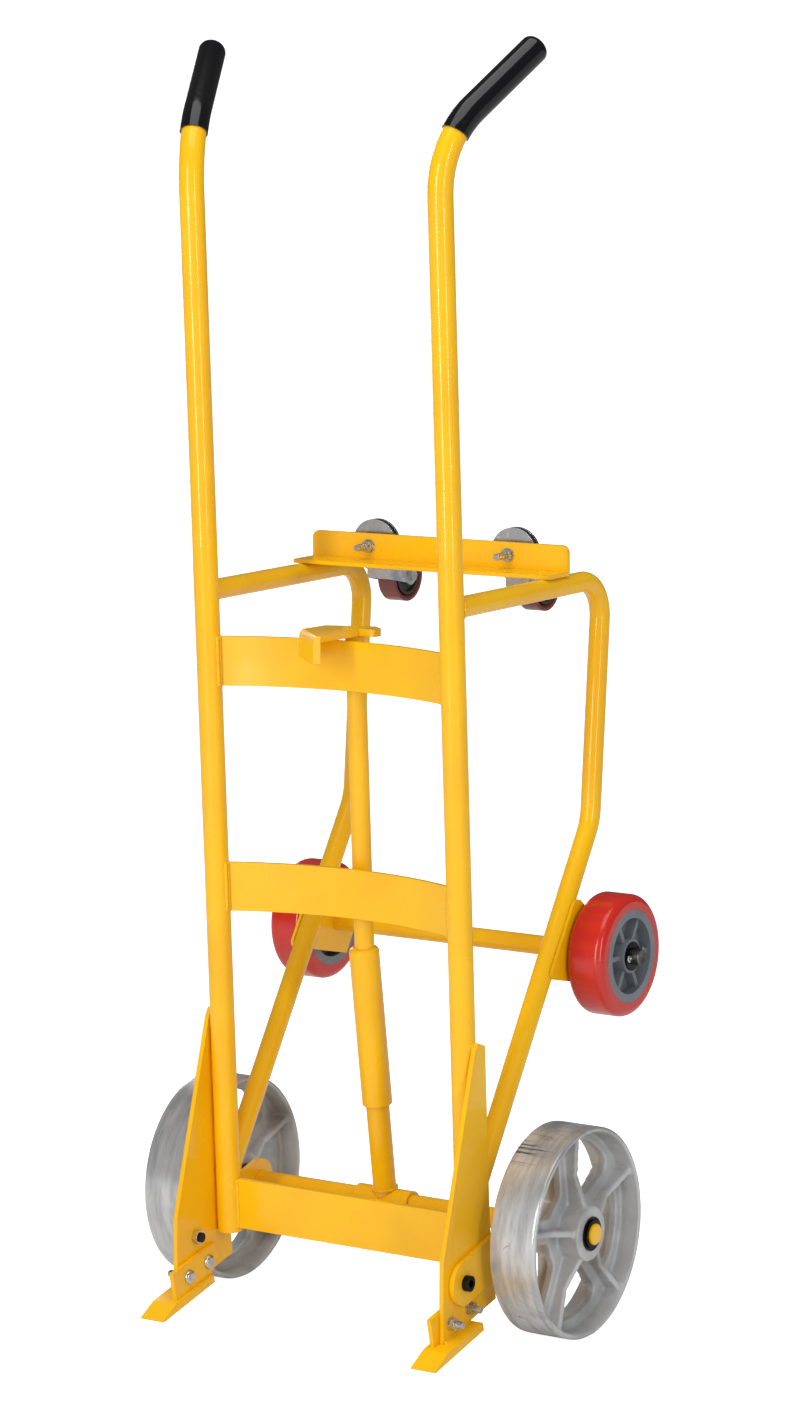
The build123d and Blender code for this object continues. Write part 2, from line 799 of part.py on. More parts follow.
with BuildPart() as caster_angle:
    with BuildSketch(angle_side(-angle_half)):
        with BuildLine():
            Polyline(
                (0, 0),
                (angle_depth, 0),
                (angle_depth, angle_height),
                (angle_face, angle_height),
                (angle_face, angle_thickness),
                (0, angle_thickness),
                close=True,
            )
        make_face()
    extrude(amount=2 * angle_half)
    fillet(caster_angle.edges().filter_by(Axis((0, 0, 0), run)).group_by(Axis.Z)[-1], radius=angle_round)
    with BuildSketch(stem_plane(angle_depth)):
        with Locations((-caster_x, 0), (caster_x, 0)):
            Circle(stem_dia / 2 + gap)
    extrude(amount=angle_thickness, mode=Mode.SUBTRACT)
save(caster_angle, "caster_angle")

# ---- casters -------------------------------------------------------------------------------------------------
shoulder_at = angle_depth + gap
top_plate_at = shoulder_at + shoulder_length
race_at = top_plate_at + plate_thickness
crown_at = race_at + ball_dia + 2 * running
head_at = crown_at + plate_thickness + running
fork_axle_at = crown_at + fork_reach
fork_axle_rise = caster_rise - fork_trail
stem_front = angle_face - washer_thickness - small_nut_height - stem_proud
leg_x = caster_width / 2 + fork_space

for hand, s in hands.items():
    x = s * caster_x
    with BuildPart() as stem:
        with BuildSketch(stem_plane(stem_front)):
            with Locations((x, 0)):
                Circle(stem_dia / 2)
        extrude(amount=-(shoulder_at + shoulder_length / 2 - stem_front))
        with BuildSketch(stem_plane(shoulder_at)):
            with Locations((x, 0)):
                RegularPolygon(shoulder_flats / 2, 6, major_radius=False)
        extrude(amount=-shoulder_length)
        with BuildSketch(stem_plane(top_plate_at)):
            with Locations((x, 0)):
                Circle(plate_radius)
        extrude(amount=-plate_thickness)
        with BuildSketch(stem_plane(race_at)):
            with Locations((x, 0)):
                Circle(kingpin_dia / 2)
        extrude(amount=-(head_at - race_at))
        with BuildSketch(stem_plane(head_at)):
            with Locations((x, 0)):
                Circle(kingpin_head / 2)
        extrude(amount=-plate_thickness)
    save(stem, f"caster_stem_{hand}")

    with BuildPart() as fork:
        with BuildSketch(stem_plane(crown_at)):
            with Locations((x, 0)):
                Circle(plate_radius)
            with Locations((x, -fork_trail / 2)):
                Rectangle(2 * (leg_x + fork_leg), fork_trail)
            with Locations((x, 0)):
                Circle(kingpin_dia / 2 + running, mode=Mode.SUBTRACT)
        extrude(amount=-plate_thickness)
        for side in (-1, 1):
            with BuildSketch(angle_side(x + side * leg_x)) as leg:
                with BuildLine():
                    Polyline(
                        (crown_at, caster_rise),
                        (fork_axle_at + fork_leg_round * 0.7, fork_axle_rise + fork_leg_round * 0.7),
                        (fork_axle_at - fork_leg_round * 0.7, fork_axle_rise - fork_leg_round * 0.7),
                        (crown_at, fork_axle_rise),
                        close=True,
                    )
                make_face()
                with Locations((fork_axle_at, fork_axle_rise)):
                    Circle(fork_leg_round)
                    Circle(caster_pin_dia / 2 + gap, mode=Mode.SUBTRACT)
            extrude(amount=side * fork_leg)
    save(fork, f"caster_fork_{hand}")

    with BuildPart() as pin:
        with BuildSketch(angle_side(x - leg_x - fork_leg - pin_proud)):
            with Locations((fork_axle_at, fork_axle_rise)):
                Circle(caster_pin_dia / 2)
        extrude(amount=2 * (leg_x + fork_leg + pin_proud))
        for side in (-1, 1):
            with BuildSketch(angle_side(x + side * (leg_x + fork_leg + gap))):
                with Locations((fork_axle_at, fork_axle_rise)):
                    RegularPolygon(small_nut_flats / 2, 6, major_radius=False)
            extrude(amount=side * pin_head)
    save(pin, f"caster_pin_{hand}")

    wheel_center = stem_origin + Vector(x, 0, 0) + run * fork_axle_at - rise * fork_trail
    wheel_axis = Axis(wheel_center, (1, 0, 0))
    caster_section = Plane(origin=wheel_center, x_dir=(1, 0, 0), z_dir=-run)
    core = caster_dia / 2 - caster_tread
    with BuildPart() as caster_hub:
        with BuildSketch(caster_section):
            with Locations((0, core / 2)):
                Rectangle(caster_width, core)
            for side in (-1, 1):
                with Locations((side * caster_width / 2, (hub_boss + core - hub_rim) / 2)):
                    Rectangle(2 * hub_recess, core - hub_rim - hub_boss, mode=Mode.SUBTRACT)
            with Locations((0, caster_pin_dia / 4 + running / 2)):
                Rectangle(caster_width, caster_pin_dia / 2 + running, mode=Mode.SUBTRACT)
        revolve(axis=wheel_axis)
    save(caster_hub, f"caster_hub_{hand}")

    with BuildPart() as caster_tread_ring:
        with BuildSketch(caster_section) as section:
            with Locations((0, core + gap + (caster_tread - gap) / 2)):
                Rectangle(caster_width, caster_tread - gap)
            fillet(section.vertices().group_by(Axis(wheel_center, rise))[-1], radius=caster_tread * 0.6)
        revolve(axis=wheel_axis)
    save(caster_tread_ring, f"caster_tread_{hand}")

ball_plane = stem_plane(race_at + running + ball_dia / 2)
with BuildPart() as caster_balls:
    for s in hands.values():
        with Locations(Plane(origin=ball_plane.origin + Vector(s * caster_x, 0, 0), z_dir=-run)):
            with PolarLocations(ball_pitch, balls):
                Sphere(ball_dia / 2)
save(caster_balls, "caster_balls")

with BuildPart() as caster_washers:
    with BuildSketch(stem_plane(angle_face - gap)):
        with Locations((-caster_x, 0), (caster_x, 0)):
            Circle(stem_dia + 0.5)
            Circle(stem_dia / 2 + gap, mode=Mode.SUBTRACT)
    extrude(amount=washer_thickness)
save(caster_washers, "caster_washers")

with BuildPart() as caster_nuts:
    with BuildSketch(stem_plane(angle_face - washer_thickness - 2 * gap)):
        with Locations((-caster_x, 0), (caster_x, 0)):
            RegularPolygon(small_nut_flats / 2, 6, major_radius=False)
            Circle(stem_dia / 2 + gap, mode=Mode.SUBTRACT)
    extrude(amount=small_nut_height)
save(caster_nuts, "caster_nuts")

# ---- chime-hook post ---------------------------------------------------------------------------------------------
post_up = up * cos(radians(post_lean)) - back * sin(radians(post_lean))
collar_inner = axle_dia / 2 + running
collar_outer = collar_inner + collar_wall


def post_plane(height):
    """Plane square to the lower post tube, height above the axle."""
    return Plane(origin=at(post_x, 0, 0) + post_up * height, x_dir=(1, 0, 0), z_dir=post_up)


with BuildPart() as post_collar:
    with BuildSketch(side_plane(post_x - collar_length / 2)):
        Circle(collar_outer)
        Circle(collar_inner, mode=Mode.SUBTRACT)
    extrude(amount=collar_length)
save(post_collar, "post_collar")

with BuildPart() as post_lower_tube:
    with BuildSketch(post_plane(0)):
        Circle(post_dia / 2)
        Circle(post_dia / 2 - post_wall, mode=Mode.SUBTRACT)
    extrude(amount=post_length)
    with BuildSketch(side_plane(post_x - collar_length / 2)):
        Circle(collar_outer + gap)
    extrude(amount=collar_length, mode=Mode.SUBTRACT)
save(post_lower_tube, "post_lower_tube")

sleeve_top = sleeve_bottom + sleeve_length
sleeve_radius = post_dia / 2 + running + sleeve_wall
hook_seat = at(post_x, 0, 0) + post_up * (sleeve_top - sleeve_plug + sleeve_web)
hook_u = upper_bar_bottom + bar_height + hook_clear
hook_b = -(sleeve_top - sleeve_plug / 2) * sin(radians(post_lean))
hook_seat_u = (sleeve_top - sleeve_plug + sleeve_web) * cos(radians(post_lean)) + 3

with BuildPart() as post_sleeve:
    with BuildSketch(post_plane(sleeve_bottom)):
        Circle(sleeve_radius)
    extrude(amount=sleeve_length)
    fillet(post_sleeve.edges().sort_by(Axis.Z)[-1], radius=sleeve_round)
    with BuildSketch(post_plane(sleeve_bottom)):
        Circle(post_dia / 2 + running)
    extrude(amount=sleeve_length - sleeve_plug, mode=Mode.SUBTRACT)
    with BuildSketch(level_plane(hook_seat_u)):
        with Locations((post_x, hook_b)):
            Circle(hook_tube_dia / 2 + running)
    extrude(amount=sleeve_plug, mode=Mode.SUBTRACT)
save(post_sleeve, "post_sleeve")

with BuildPart() as post_upper_tube:
    with BuildSketch(level_plane(hook_seat_u + running)):
        with Locations((post_x, hook_b)):
            Circle(hook_tube_dia / 2)
            Circle(hook_tube_dia / 2 - hook_tube_wall, mode=Mode.SUBTRACT)
    extrude(amount=hook_u - hook_seat_u - running - gap)
save(post_upper_tube, "post_upper_tube")

# The hook plate lies level, so it is drawn on a horizontal plane through the top of its tube.
hook_origin = at(post_x, hook_b, hook_u)
hook_outline = [(-42, -56), (12, -107), (12, -11), (32, -8), (32, 8), (14, 24), (-42, 0)]
lip_line = Vector(*hook_outline[1]) - Vector(*hook_outline[0])
lip_in = Vector(-lip_line.Y, lip_line.X).normalized() * hook_thickness
tube_top_rise = hook_tube_dia / 2 * sin(radians(lean))

with BuildPart() as chime_hook:
    with BuildSketch(Plane(origin=hook_origin + Vector(0, 0, tube_top_rise), z_dir=(0, 0, 1))) as plate:
        with BuildLine():
            Polyline(*hook_outline, close=True)
        make_face()
        fillet(plate.vertices().group_by(Axis.X)[-1], radius=hook_round)
    extrude(amount=hook_thickness)
    lip_top = tube_top_rise + hook_thickness - hook_lip
    with BuildSketch(Plane(origin=hook_origin + Vector(0, 0, lip_top), z_dir=(0, 0, 1))):
        with BuildLine():
            Polyline(
                hook_outline[0],
                hook_outline[1],
                tuple(Vector(*hook_outline[1]) + lip_in)[:2],
                tuple(Vector(*hook_outline[0]) + lip_in)[:2],
                close=True,
            )
        make_face()
    extrude(amount=hook_lip)
    fold = chime_hook.edges().filter_by(Axis((0, 0, 0), lip_line)).group_by(Axis.Z)[-1].sort_by(SortBy.LENGTH)[-1]
    fillet(fold, radius=hook_fold)
save(chime_hook, "chime_hook")
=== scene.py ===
import json
import math

import bmesh
import bpy
from mathutils import Matrix, Vector


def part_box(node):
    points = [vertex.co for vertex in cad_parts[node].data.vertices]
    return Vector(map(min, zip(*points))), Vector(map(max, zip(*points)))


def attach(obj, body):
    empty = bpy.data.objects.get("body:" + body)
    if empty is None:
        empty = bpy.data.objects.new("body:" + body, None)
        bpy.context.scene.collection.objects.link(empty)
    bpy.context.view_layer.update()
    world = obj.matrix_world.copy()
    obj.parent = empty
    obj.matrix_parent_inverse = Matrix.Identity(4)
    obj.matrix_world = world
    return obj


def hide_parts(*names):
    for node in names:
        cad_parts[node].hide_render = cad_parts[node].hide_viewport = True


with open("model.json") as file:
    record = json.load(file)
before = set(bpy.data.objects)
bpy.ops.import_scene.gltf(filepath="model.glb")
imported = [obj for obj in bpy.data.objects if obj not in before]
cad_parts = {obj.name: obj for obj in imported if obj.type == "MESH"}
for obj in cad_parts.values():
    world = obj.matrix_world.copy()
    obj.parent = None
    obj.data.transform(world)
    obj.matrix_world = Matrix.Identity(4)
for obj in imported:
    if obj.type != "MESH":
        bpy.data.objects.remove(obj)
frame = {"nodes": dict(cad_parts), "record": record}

nodes = frame["nodes"]
joints = {joint["name"]: joint for joint in frame["record"]["behaviour"]["joints"]}
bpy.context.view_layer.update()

# Places on the truck are (x, b, u): across, back from the main axle, and up along the leaning frame.
upAxis = Vector(joints["hook_turn"]["axis"]).normalized()
backAxis = upAxis.cross(Vector((1, 0, 0)))
stemAxis = Vector(joints["caster_swivel_left"]["axis"]).normalized()
postAxis = Vector(joints["sleeve_lift"]["axis"]).normalized()
axleCenter = Vector((0, 0, joints["main_wheel_spin_left"]["pos_m"][2]))


def place(x, b, u):
    return axleCenter + Vector((x, 0, 0)) + backAxis * b + upAxis * u


def placeOf(point):
    offset = Vector(point) - axleCenter
    return offset.x, offset.dot(backAxis), offset.dot(upAxis)


def middle(node):
    low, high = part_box(node)
    return (low + high) / 2


# small helpers for node trees
def addNode(tree, kind, operation=None, **values):
    made = tree.nodes.new(kind)
    if operation:
        made.operation = operation
    for name, value in values.items():
        wanted = name.replace("_", " ")
        socket = next(s for s in made.inputs if s.name == wanted and s.enabled)
        if isinstance(value, bpy.types.NodeSocket):
            tree.links.new(value, socket)
        else:
            socket.default_value = value
    return made


def calculate(tree, operation, first, second=0.0, clamp=False):
    made = tree.nodes.new("ShaderNodeMath")
    made.operation = operation
    made.use_clamp = clamp
    for socket, value in zip(made.inputs, (first, second)):
        if isinstance(value, bpy.types.NodeSocket):
            tree.links.new(value, socket)
        else:
            socket.default_value = value
    return made.outputs[0]


def ramp(tree, value, low, high, toLow=0.0, toHigh=1.0):
    made = tree.nodes.new("ShaderNodeMapRange")
    made.interpolation_type = "SMOOTHSTEP"
    tree.links.new(value, made.inputs["Value"])
    for name, number in (("From Min", low), ("From Max", high), ("To Min", toLow), ("To Max", toHigh)):
        if isinstance(number, bpy.types.NodeSocket):
            tree.links.new(number, made.inputs[name])
        else:
            made.inputs[name].default_value = number
    return made.outputs["Result"]


def mixColors(tree, factor, first, second):
    made = tree.nodes.new("ShaderNodeMix")
    made.data_type = "RGBA"
    tree.links.new(factor, made.inputs[0])
    for socket, value in zip(made.inputs[6:8], (first, second)):  # its two colour sockets
        if isinstance(value, bpy.types.NodeSocket):
            tree.links.new(value, socket)
        else:
            socket.default_value = (*value, 1)
    return made.outputs[2]


def newGroup(name, inputs, outputs):
    group = bpy.data.node_groups.new(name, "ShaderNodeTree")
    for label, default in inputs.items():
        kind = "NodeSocketVector" if isinstance(default, tuple) else "NodeSocketFloat"
        socket = group.interface.new_socket(label, in_out="INPUT", socket_type=kind)
        socket.default_value = default
    for label in outputs:
        group.interface.new_socket(label, in_out="OUTPUT", socket_type="NodeSocketFloat")
    return group, group.nodes.new("NodeGroupInput"), group.nodes.new("NodeGroupOutput")


def useGroup(tree, group, **values):
    made = tree.nodes.new("ShaderNodeGroup")
    made.node_tree = group
    for name, value in values.items():
        socket = made.inputs[name.replace("_", " ")]
        if isinstance(value, bpy.types.NodeSocket):
            tree.links.new(value, socket)
        else:
            socket.default_value = value
    return made


peel = {"scale": 420.0, "detail": 1.5, "wideScale": 9.0, "wideDetail": 2.0}


def makeOrangePeel():
    group, given, result = newGroup(
        "orangePeel", {"Vector": (0.0, 0.0, 0.0), "Scale": peel["scale"]}, ["Height", "Variation"]
    )
    where, scale = given.outputs["Vector"], given.outputs["Scale"]
    fine = addNode(group, "ShaderNodeTexNoise", Vector=where, Scale=scale, Detail=peel["detail"])
    wide = addNode(
        group, "ShaderNodeTexNoise", Vector=where, Scale=peel["wideScale"], Detail=peel["wideDetail"]
    )
    group.links.new(fine.outputs["Fac"], result.inputs["Height"])
    group.links.new(wide.outputs["Fac"], result.inputs["Variation"])
    return group


wear = {"corner": (0.97, 0.86), "patches": (0.5, 0.66), "detail": 5.0, "samples": 4}


def makeEdgeWear():
    group, given, result = newGroup(
        "edgeWear", {"Vector": (0.0, 0.0, 0.0), "Radius": 0.0012, "Breakup": 60.0, "Amount": 0.5}, ["Mask"]
    )
    rounded = addNode(group, "ShaderNodeBevel", Radius=given.outputs["Radius"])
    rounded.samples = wear["samples"]
    shape = group.nodes.new("ShaderNodeNewGeometry")
    facing = group.nodes.new("ShaderNodeVectorMath")
    facing.operation = "DOT_PRODUCT"
    group.links.new(rounded.outputs["Normal"], facing.inputs[0])
    group.links.new(shape.outputs["Normal"], facing.inputs[1])
    edge = ramp(group, facing.outputs["Value"], *wear["corner"])
    where, breakup = given.outputs["Vector"], given.outputs["Breakup"]
    noise = addNode(group, "ShaderNodeTexNoise", Vector=where, Scale=breakup, Detail=wear["detail"])
    patchy = ramp(group, noise.outputs["Fac"], *wear["patches"])
    worn = calculate(group, "MULTIPLY", edge, patchy)
    mask = calculate(group, "MULTIPLY", worn, given.outputs["Amount"], clamp=True)
    group.links.new(mask, result.inputs["Mask"])
    return group


grainy = {
    "scale": 260.0,
    "lumpScale": 38.0,
    "lumpHeight": 1.6,
    "tintScale": 14.0,
    "tintRange": (0.38, 0.66),
}


def makeCastGrain():
    group, given, result = newGroup(
        "castGrain", {"Vector": (0.0, 0.0, 0.0), "Scale": grainy["scale"]}, ["Height", "Tint"]
    )
    where, scale = given.outputs["Vector"], given.outputs["Scale"]
    sand = addNode(group, "ShaderNodeTexNoise", Vector=where, Scale=scale, Detail=4.0)
    lumps = addNode(group, "ShaderNodeTexNoise", Vector=where, Scale=grainy["lumpScale"], Detail=3.0)
    raised = calculate(group, "MULTIPLY", lumps.outputs["Fac"], grainy["lumpHeight"])
    tint = addNode(group, "ShaderNodeTexNoise", Vector=where, Scale=grainy["tintScale"], Detail=5.0)
    group.links.new(calculate(group, "ADD", sand.outputs["Fac"], raised), result.inputs["Height"])
    group.links.new(ramp(group, tint.outputs["Fac"], *grainy["tintRange"]), result.inputs["Tint"])
    return group


scratching = {
    "warpScale": 6.0,
    "warp": (0.12, 0.12, 0.12),
    "stretch": (1.0, 6.0, 0.7),
    "turn": (0.3, 0.5, 0.7),
    "spotScale": 11.0,
    "spots": (0.52, 0.62),
}


def makeScratches():
    group, given, result = newGroup(
        "scratches", {"Vector": (0.0, 0.0, 0.0), "Scale": 30.0, "Width": 0.04}, ["Mask"]
    )
    where = given.outputs["Vector"]
    warp = addNode(group, "ShaderNodeTexNoise", Vector=where, Scale=scratching["warpScale"], Detail=2.0)
    moved = group.nodes.new("ShaderNodeVectorMath")
    moved.operation = "MULTIPLY_ADD"
    group.links.new(warp.outputs["Color"], moved.inputs[0])
    moved.inputs[1].default_value = scratching["warp"]
    group.links.new(where, moved.inputs[2])
    stretched = group.nodes.new("ShaderNodeMapping")
    stretched.inputs["Scale"].default_value = scratching["stretch"]
    stretched.inputs["Rotation"].default_value = scratching["turn"]
    group.links.new(moved.outputs[0], stretched.inputs["Vector"])
    cracks = addNode(
        group, "ShaderNodeTexVoronoi", Vector=stretched.outputs["Vector"], Scale=given.outputs["Scale"]
    )
    cracks.feature = "DISTANCE_TO_EDGE"
    line = ramp(group, cracks.outputs["Distance"], given.outputs["Width"], 0.0)
    spots = addNode(group, "ShaderNodeTexNoise", Vector=where, Scale=scratching["spotScale"], Detail=3.0)
    patchy = ramp(group, spots.outputs["Fac"], *scratching["spots"])
    group.links.new(calculate(group, "MULTIPLY", line, patchy), result.inputs["Mask"])
    return group


orangePeel = makeOrangePeel()
edgeWear = makeEdgeWear()
castGrain = makeCastGrain()
scratches = makeScratches()
print("shared effects ready")


def startMaterial(name, **settings):
    material = bpy.data.materials.new(name)
    material.use_nodes = True
    tree = material.node_tree
    tree.nodes.clear()
    output = tree.nodes.new("ShaderNodeOutputMaterial")
    shader = tree.nodes.new("ShaderNodeBsdfPrincipled")
    for label, value in settings.items():
        shader.inputs[label.replace("_", " ")].default_value = value
    tree.links.new(shader.outputs[0], output.inputs["Surface"])
    where = tree.nodes.new("ShaderNodeTexCoord").outputs["Object"]
    return material, tree, shader, where


def addBump(tree, shader, height, strength, distance, rounding=0.0):
    bump = tree.nodes.new("ShaderNodeBump")
    bump.inputs["Strength"].default_value = strength
    bump.inputs["Distance"].default_value = distance
    tree.links.new(height, bump.inputs["Height"])
    if rounding:
        rounded = addNode(tree, "ShaderNodeBevel", Radius=rounding)
        rounded.samples = wear["samples"]
        tree.links.new(rounded.outputs["Normal"], bump.inputs["Normal"])
    tree.links.new(bump.outputs["Normal"], shader.inputs["Normal"])


def scratchedRoughness(tree, shader, value, limits, marks, amount):
    smooth = ramp(tree, value, 0.3, 0.7, *limits)
    rough = calculate(tree, "ADD", smooth, calculate(tree, "MULTIPLY", marks.outputs["Mask"], amount))
    tree.links.new(rough, shader.inputs["Roughness"])


paint = {
    "color": (0.95, 0.52, 0.003),
    "deep": (0.91, 0.47, 0.002),
    "scuff": (0.3, 0.22, 0.13),
    "coat": 0.45,
    "coatRoughness": 0.04,
    "specular": 0.3,
    "roughness": (0.24, 0.34),
    "peelScale": 420.0,
    "peelStrength": 0.25,
    "peelDepth": 0.00012,
    "edgeRadius": 0.0011,
    "wearBreakup": 90.0,
    "wearAmount": 0.55,
}


def makePaint():
    material, tree, shader, where = startMaterial(
        "yellowPaint",
        Coat_Weight=paint["coat"],
        Coat_Roughness=paint["coatRoughness"],
        Specular_IOR_Level=paint["specular"],
    )
    skin = useGroup(tree, orangePeel, Vector=where, Scale=paint["peelScale"])
    worn = useGroup(
        tree,
        edgeWear,
        Vector=where,
        Radius=paint["edgeRadius"],
        Breakup=paint["wearBreakup"],
        Amount=paint["wearAmount"],
    )
    tone = mixColors(tree, ramp(tree, skin.outputs["Variation"], 0.35, 0.7), paint["color"], paint["deep"])
    color = mixColors(tree, worn.outputs["Mask"], tone, paint["scuff"])
    tree.links.new(color, shader.inputs["Base Color"])
    rough = ramp(tree, skin.outputs["Variation"], 0.3, 0.7, *paint["roughness"])
    tree.links.new(rough, shader.inputs["Roughness"])
    height = skin.outputs["Height"]
    addBump(tree, shader, height, paint["peelStrength"], paint["peelDepth"], paint["edgeRadius"])
    return material


vinyl = {
    "color": (0.003, 0.003, 0.004),
    "dull": (0.008, 0.008, 0.009),
    "coat": 0.2,
    "coatRoughness": 0.06,
    "roughness": (0.1, 0.18),
    "grainScale": 130.0,
    "grainDepth": 0.0003,
    "scratchScale": 55.0,
    "scratchWidth": 0.03,
}


def makeVinyl():
    material, tree, shader, where = startMaterial(
        "blackVinyl", Coat_Weight=vinyl["coat"], Coat_Roughness=vinyl["coatRoughness"]
    )
    skin = useGroup(tree, orangePeel, Vector=where, Scale=vinyl["grainScale"])
    marks = useGroup(tree, scratches, Vector=where, Scale=vinyl["scratchScale"], Width=vinyl["scratchWidth"])
    tone = mixColors(tree, skin.outputs["Variation"], vinyl["color"], vinyl["dull"])
    tree.links.new(tone, shader.inputs["Base Color"])
    scratchedRoughness(tree, shader, skin.outputs["Variation"], vinyl["roughness"], marks, 0.25)
    addBump(tree, shader, skin.outputs["Height"], 0.2, vinyl["grainDepth"])
    return material


plated = {
    "peelScale": 180.0,
    "peelDepth": 0.0001,
    "edgeRadius": 0.0006,
    "cloudScale": 70.0,
    "scratchScale": 90.0,
    "scratchWidth": 0.05,
}


def makePlated(name, bright, dark, roughness):
    material, tree, shader, where = startMaterial(name, Metallic=1.0)
    skin = useGroup(tree, orangePeel, Vector=where, Scale=plated["peelScale"])
    marks = useGroup(
        tree, scratches, Vector=where, Scale=plated["scratchScale"], Width=plated["scratchWidth"]
    )
    cloudy = addNode(tree, "ShaderNodeTexNoise", Vector=where, Scale=plated["cloudScale"], Detail=4.0)
    tone = mixColors(tree, ramp(tree, cloudy.outputs["Fac"], 0.35, 0.65), bright, dark)
    tree.links.new(tone, shader.inputs["Base Color"])
    scratchedRoughness(tree, shader, cloudy.outputs["Fac"], roughness, marks, 0.2)
    addBump(tree, shader, skin.outputs["Height"], 0.2, plated["peelDepth"], plated["edgeRadius"])
    return material


cast = {
    "light": (0.64, 0.645, 0.65),
    "grey": (0.42, 0.425, 0.43),
    "brown": (0.3, 0.25, 0.19),
    "rust": 0.35,
    "stain": (0.05, 0.052, 0.055),
    "staining": 0.4,
    "treadLight": (0.7, 0.71, 0.72),
    "treadGrey": (0.42, 0.43, 0.44),
    "treadInner": 0.1245,
    "treadBlend": 0.0012,
    "grainScale": 330.0,
    "lineScale": 900.0,
    "lineHeight": 0.25,
    "smudgeScale": 9.0,
    "streakStretch": (60.0, 9.0, 9.0),
    "scuffAt": (0.236, -0.062, 0.11),
    "scuffReach": 0.036,
    "scuffCore": 0.4,
    "scuffStretch": (14.0, 260.0, 260.0),
    "scratchScale": 26.0,
    "scratchWidth": 0.016,
    "metallic": (0.35, 0.6),
    "roughness": (0.5, 0.3),
    "bumpStrength": 0.7,
    "bumpDepth": 0.0009,
}


def stretchedNoise(tree, where, stretch, detail, roughness):
    stretched = tree.nodes.new("ShaderNodeMapping")
    stretched.inputs["Scale"].default_value = stretch
    tree.links.new(where, stretched.inputs["Vector"])
    noise = addNode(
        tree,
        "ShaderNodeTexNoise",
        Vector=stretched.outputs["Vector"],
        Scale=1.0,
        Detail=detail,
        Roughness=roughness,
    )
    return noise.outputs["Fac"]


def makeCast():
    material, tree, shader, where = startMaterial("castWheel")
    grain = useGroup(tree, castGrain, Vector=where, Scale=cast["grainScale"])
    centered = tree.nodes.new("ShaderNodeMapping")  # the axle line becomes the pattern's middle
    centered.inputs["Location"].default_value = (0, 0, -axleCenter.z)
    tree.links.new(where, centered.inputs["Vector"])
    parts = addNode(tree, "ShaderNodeSeparateXYZ", Vector=centered.outputs["Vector"])
    squares = [calculate(tree, "POWER", parts.outputs[label], 2.0) for label in ("Y", "Z")]
    radius = calculate(tree, "SQRT", calculate(tree, "ADD", *squares))
    tread = ramp(tree, radius, cast["treadInner"], cast["treadInner"] + cast["treadBlend"])
    flat = tree.nodes.new("ShaderNodeCombineXYZ")  # only x varies, so the lines run round the tread
    tree.links.new(parts.outputs["X"], flat.inputs["X"])
    lines = addNode(
        tree, "ShaderNodeTexNoise", Vector=flat.outputs["Vector"], Scale=cast["lineScale"], Detail=2.0
    )
    smudge = addNode(
        tree, "ShaderNodeTexNoise", Vector=where, Scale=cast["smudgeScale"], Detail=7.0, Roughness=0.62
    )
    patch = tree.nodes.new("ShaderNodeVectorMath")  # one scuffed place, high on the load side of the tread
    patch.operation = "DISTANCE"
    tree.links.new(centered.outputs["Vector"], patch.inputs[0])
    patch.inputs[1].default_value = cast["scuffAt"]
    core = cast["scuffReach"] * cast["scuffCore"]
    nearPatch = ramp(tree, patch.outputs["Value"], cast["scuffReach"], core)
    scuffs = stretchedNoise(tree, where, cast["scuffStretch"], 5.0, 0.6)
    scuffed = calculate(tree, "MULTIPLY", nearPatch, ramp(tree, scuffs, 0.47, 0.6))
    streaks = stretchedNoise(tree, where, cast["streakStretch"], 6.0, 0.7)
    marks = useGroup(tree, scratches, Vector=where, Scale=cast["scratchScale"], Width=cast["scratchWidth"])

    rough = mixColors(tree, grain.outputs["Tint"], cast["light"], cast["grey"])
    rusty = calculate(tree, "MULTIPLY", ramp(tree, smudge.outputs["Fac"], 0.56, 0.72), cast["rust"])
    body = mixColors(tree, rusty, rough, cast["brown"])
    machined = mixColors(tree, ramp(tree, streaks, 0.35, 0.7), cast["treadLight"], cast["treadGrey"])
    stained = calculate(tree, "MULTIPLY", ramp(tree, smudge.outputs["Fac"], 0.6, 0.72), cast["staining"])
    spoiled = calculate(tree, "MAXIMUM", calculate(tree, "MAXIMUM", stained, marks.outputs["Mask"]), scuffed)
    dirty = mixColors(tree, spoiled, machined, cast["stain"])
    tree.links.new(mixColors(tree, tread, body, dirty), shader.inputs["Base Color"])

    tree.links.new(ramp(tree, tread, 0.0, 1.0, *cast["metallic"]), shader.inputs["Metallic"])
    tree.links.new(ramp(tree, tread, 0.0, 1.0, *cast["roughness"]), shader.inputs["Roughness"])
    offTread = calculate(tree, "SUBTRACT", 1.0, tread)
    sandy = calculate(tree, "MULTIPLY", grain.outputs["Height"], offTread)
    grooved = calculate(tree, "MULTIPLY", lines.outputs["Fac"], tread)
    turned = calculate(tree, "MULTIPLY", grooved, cast["lineHeight"])
    addBump(tree, shader, calculate(tree, "ADD", sandy, turned), cast["bumpStrength"], cast["bumpDepth"])
    return material


urethane = {
    "coat": 0.35,
    "coatRoughness": 0.1,
    "depth": 0.08,
    "depthScale": 0.004,
    "grainScale": 60.0,
    "scratchScale": 40.0,
    "scratchWidth": 0.02,
    "edgeRadius": 0.001,
}


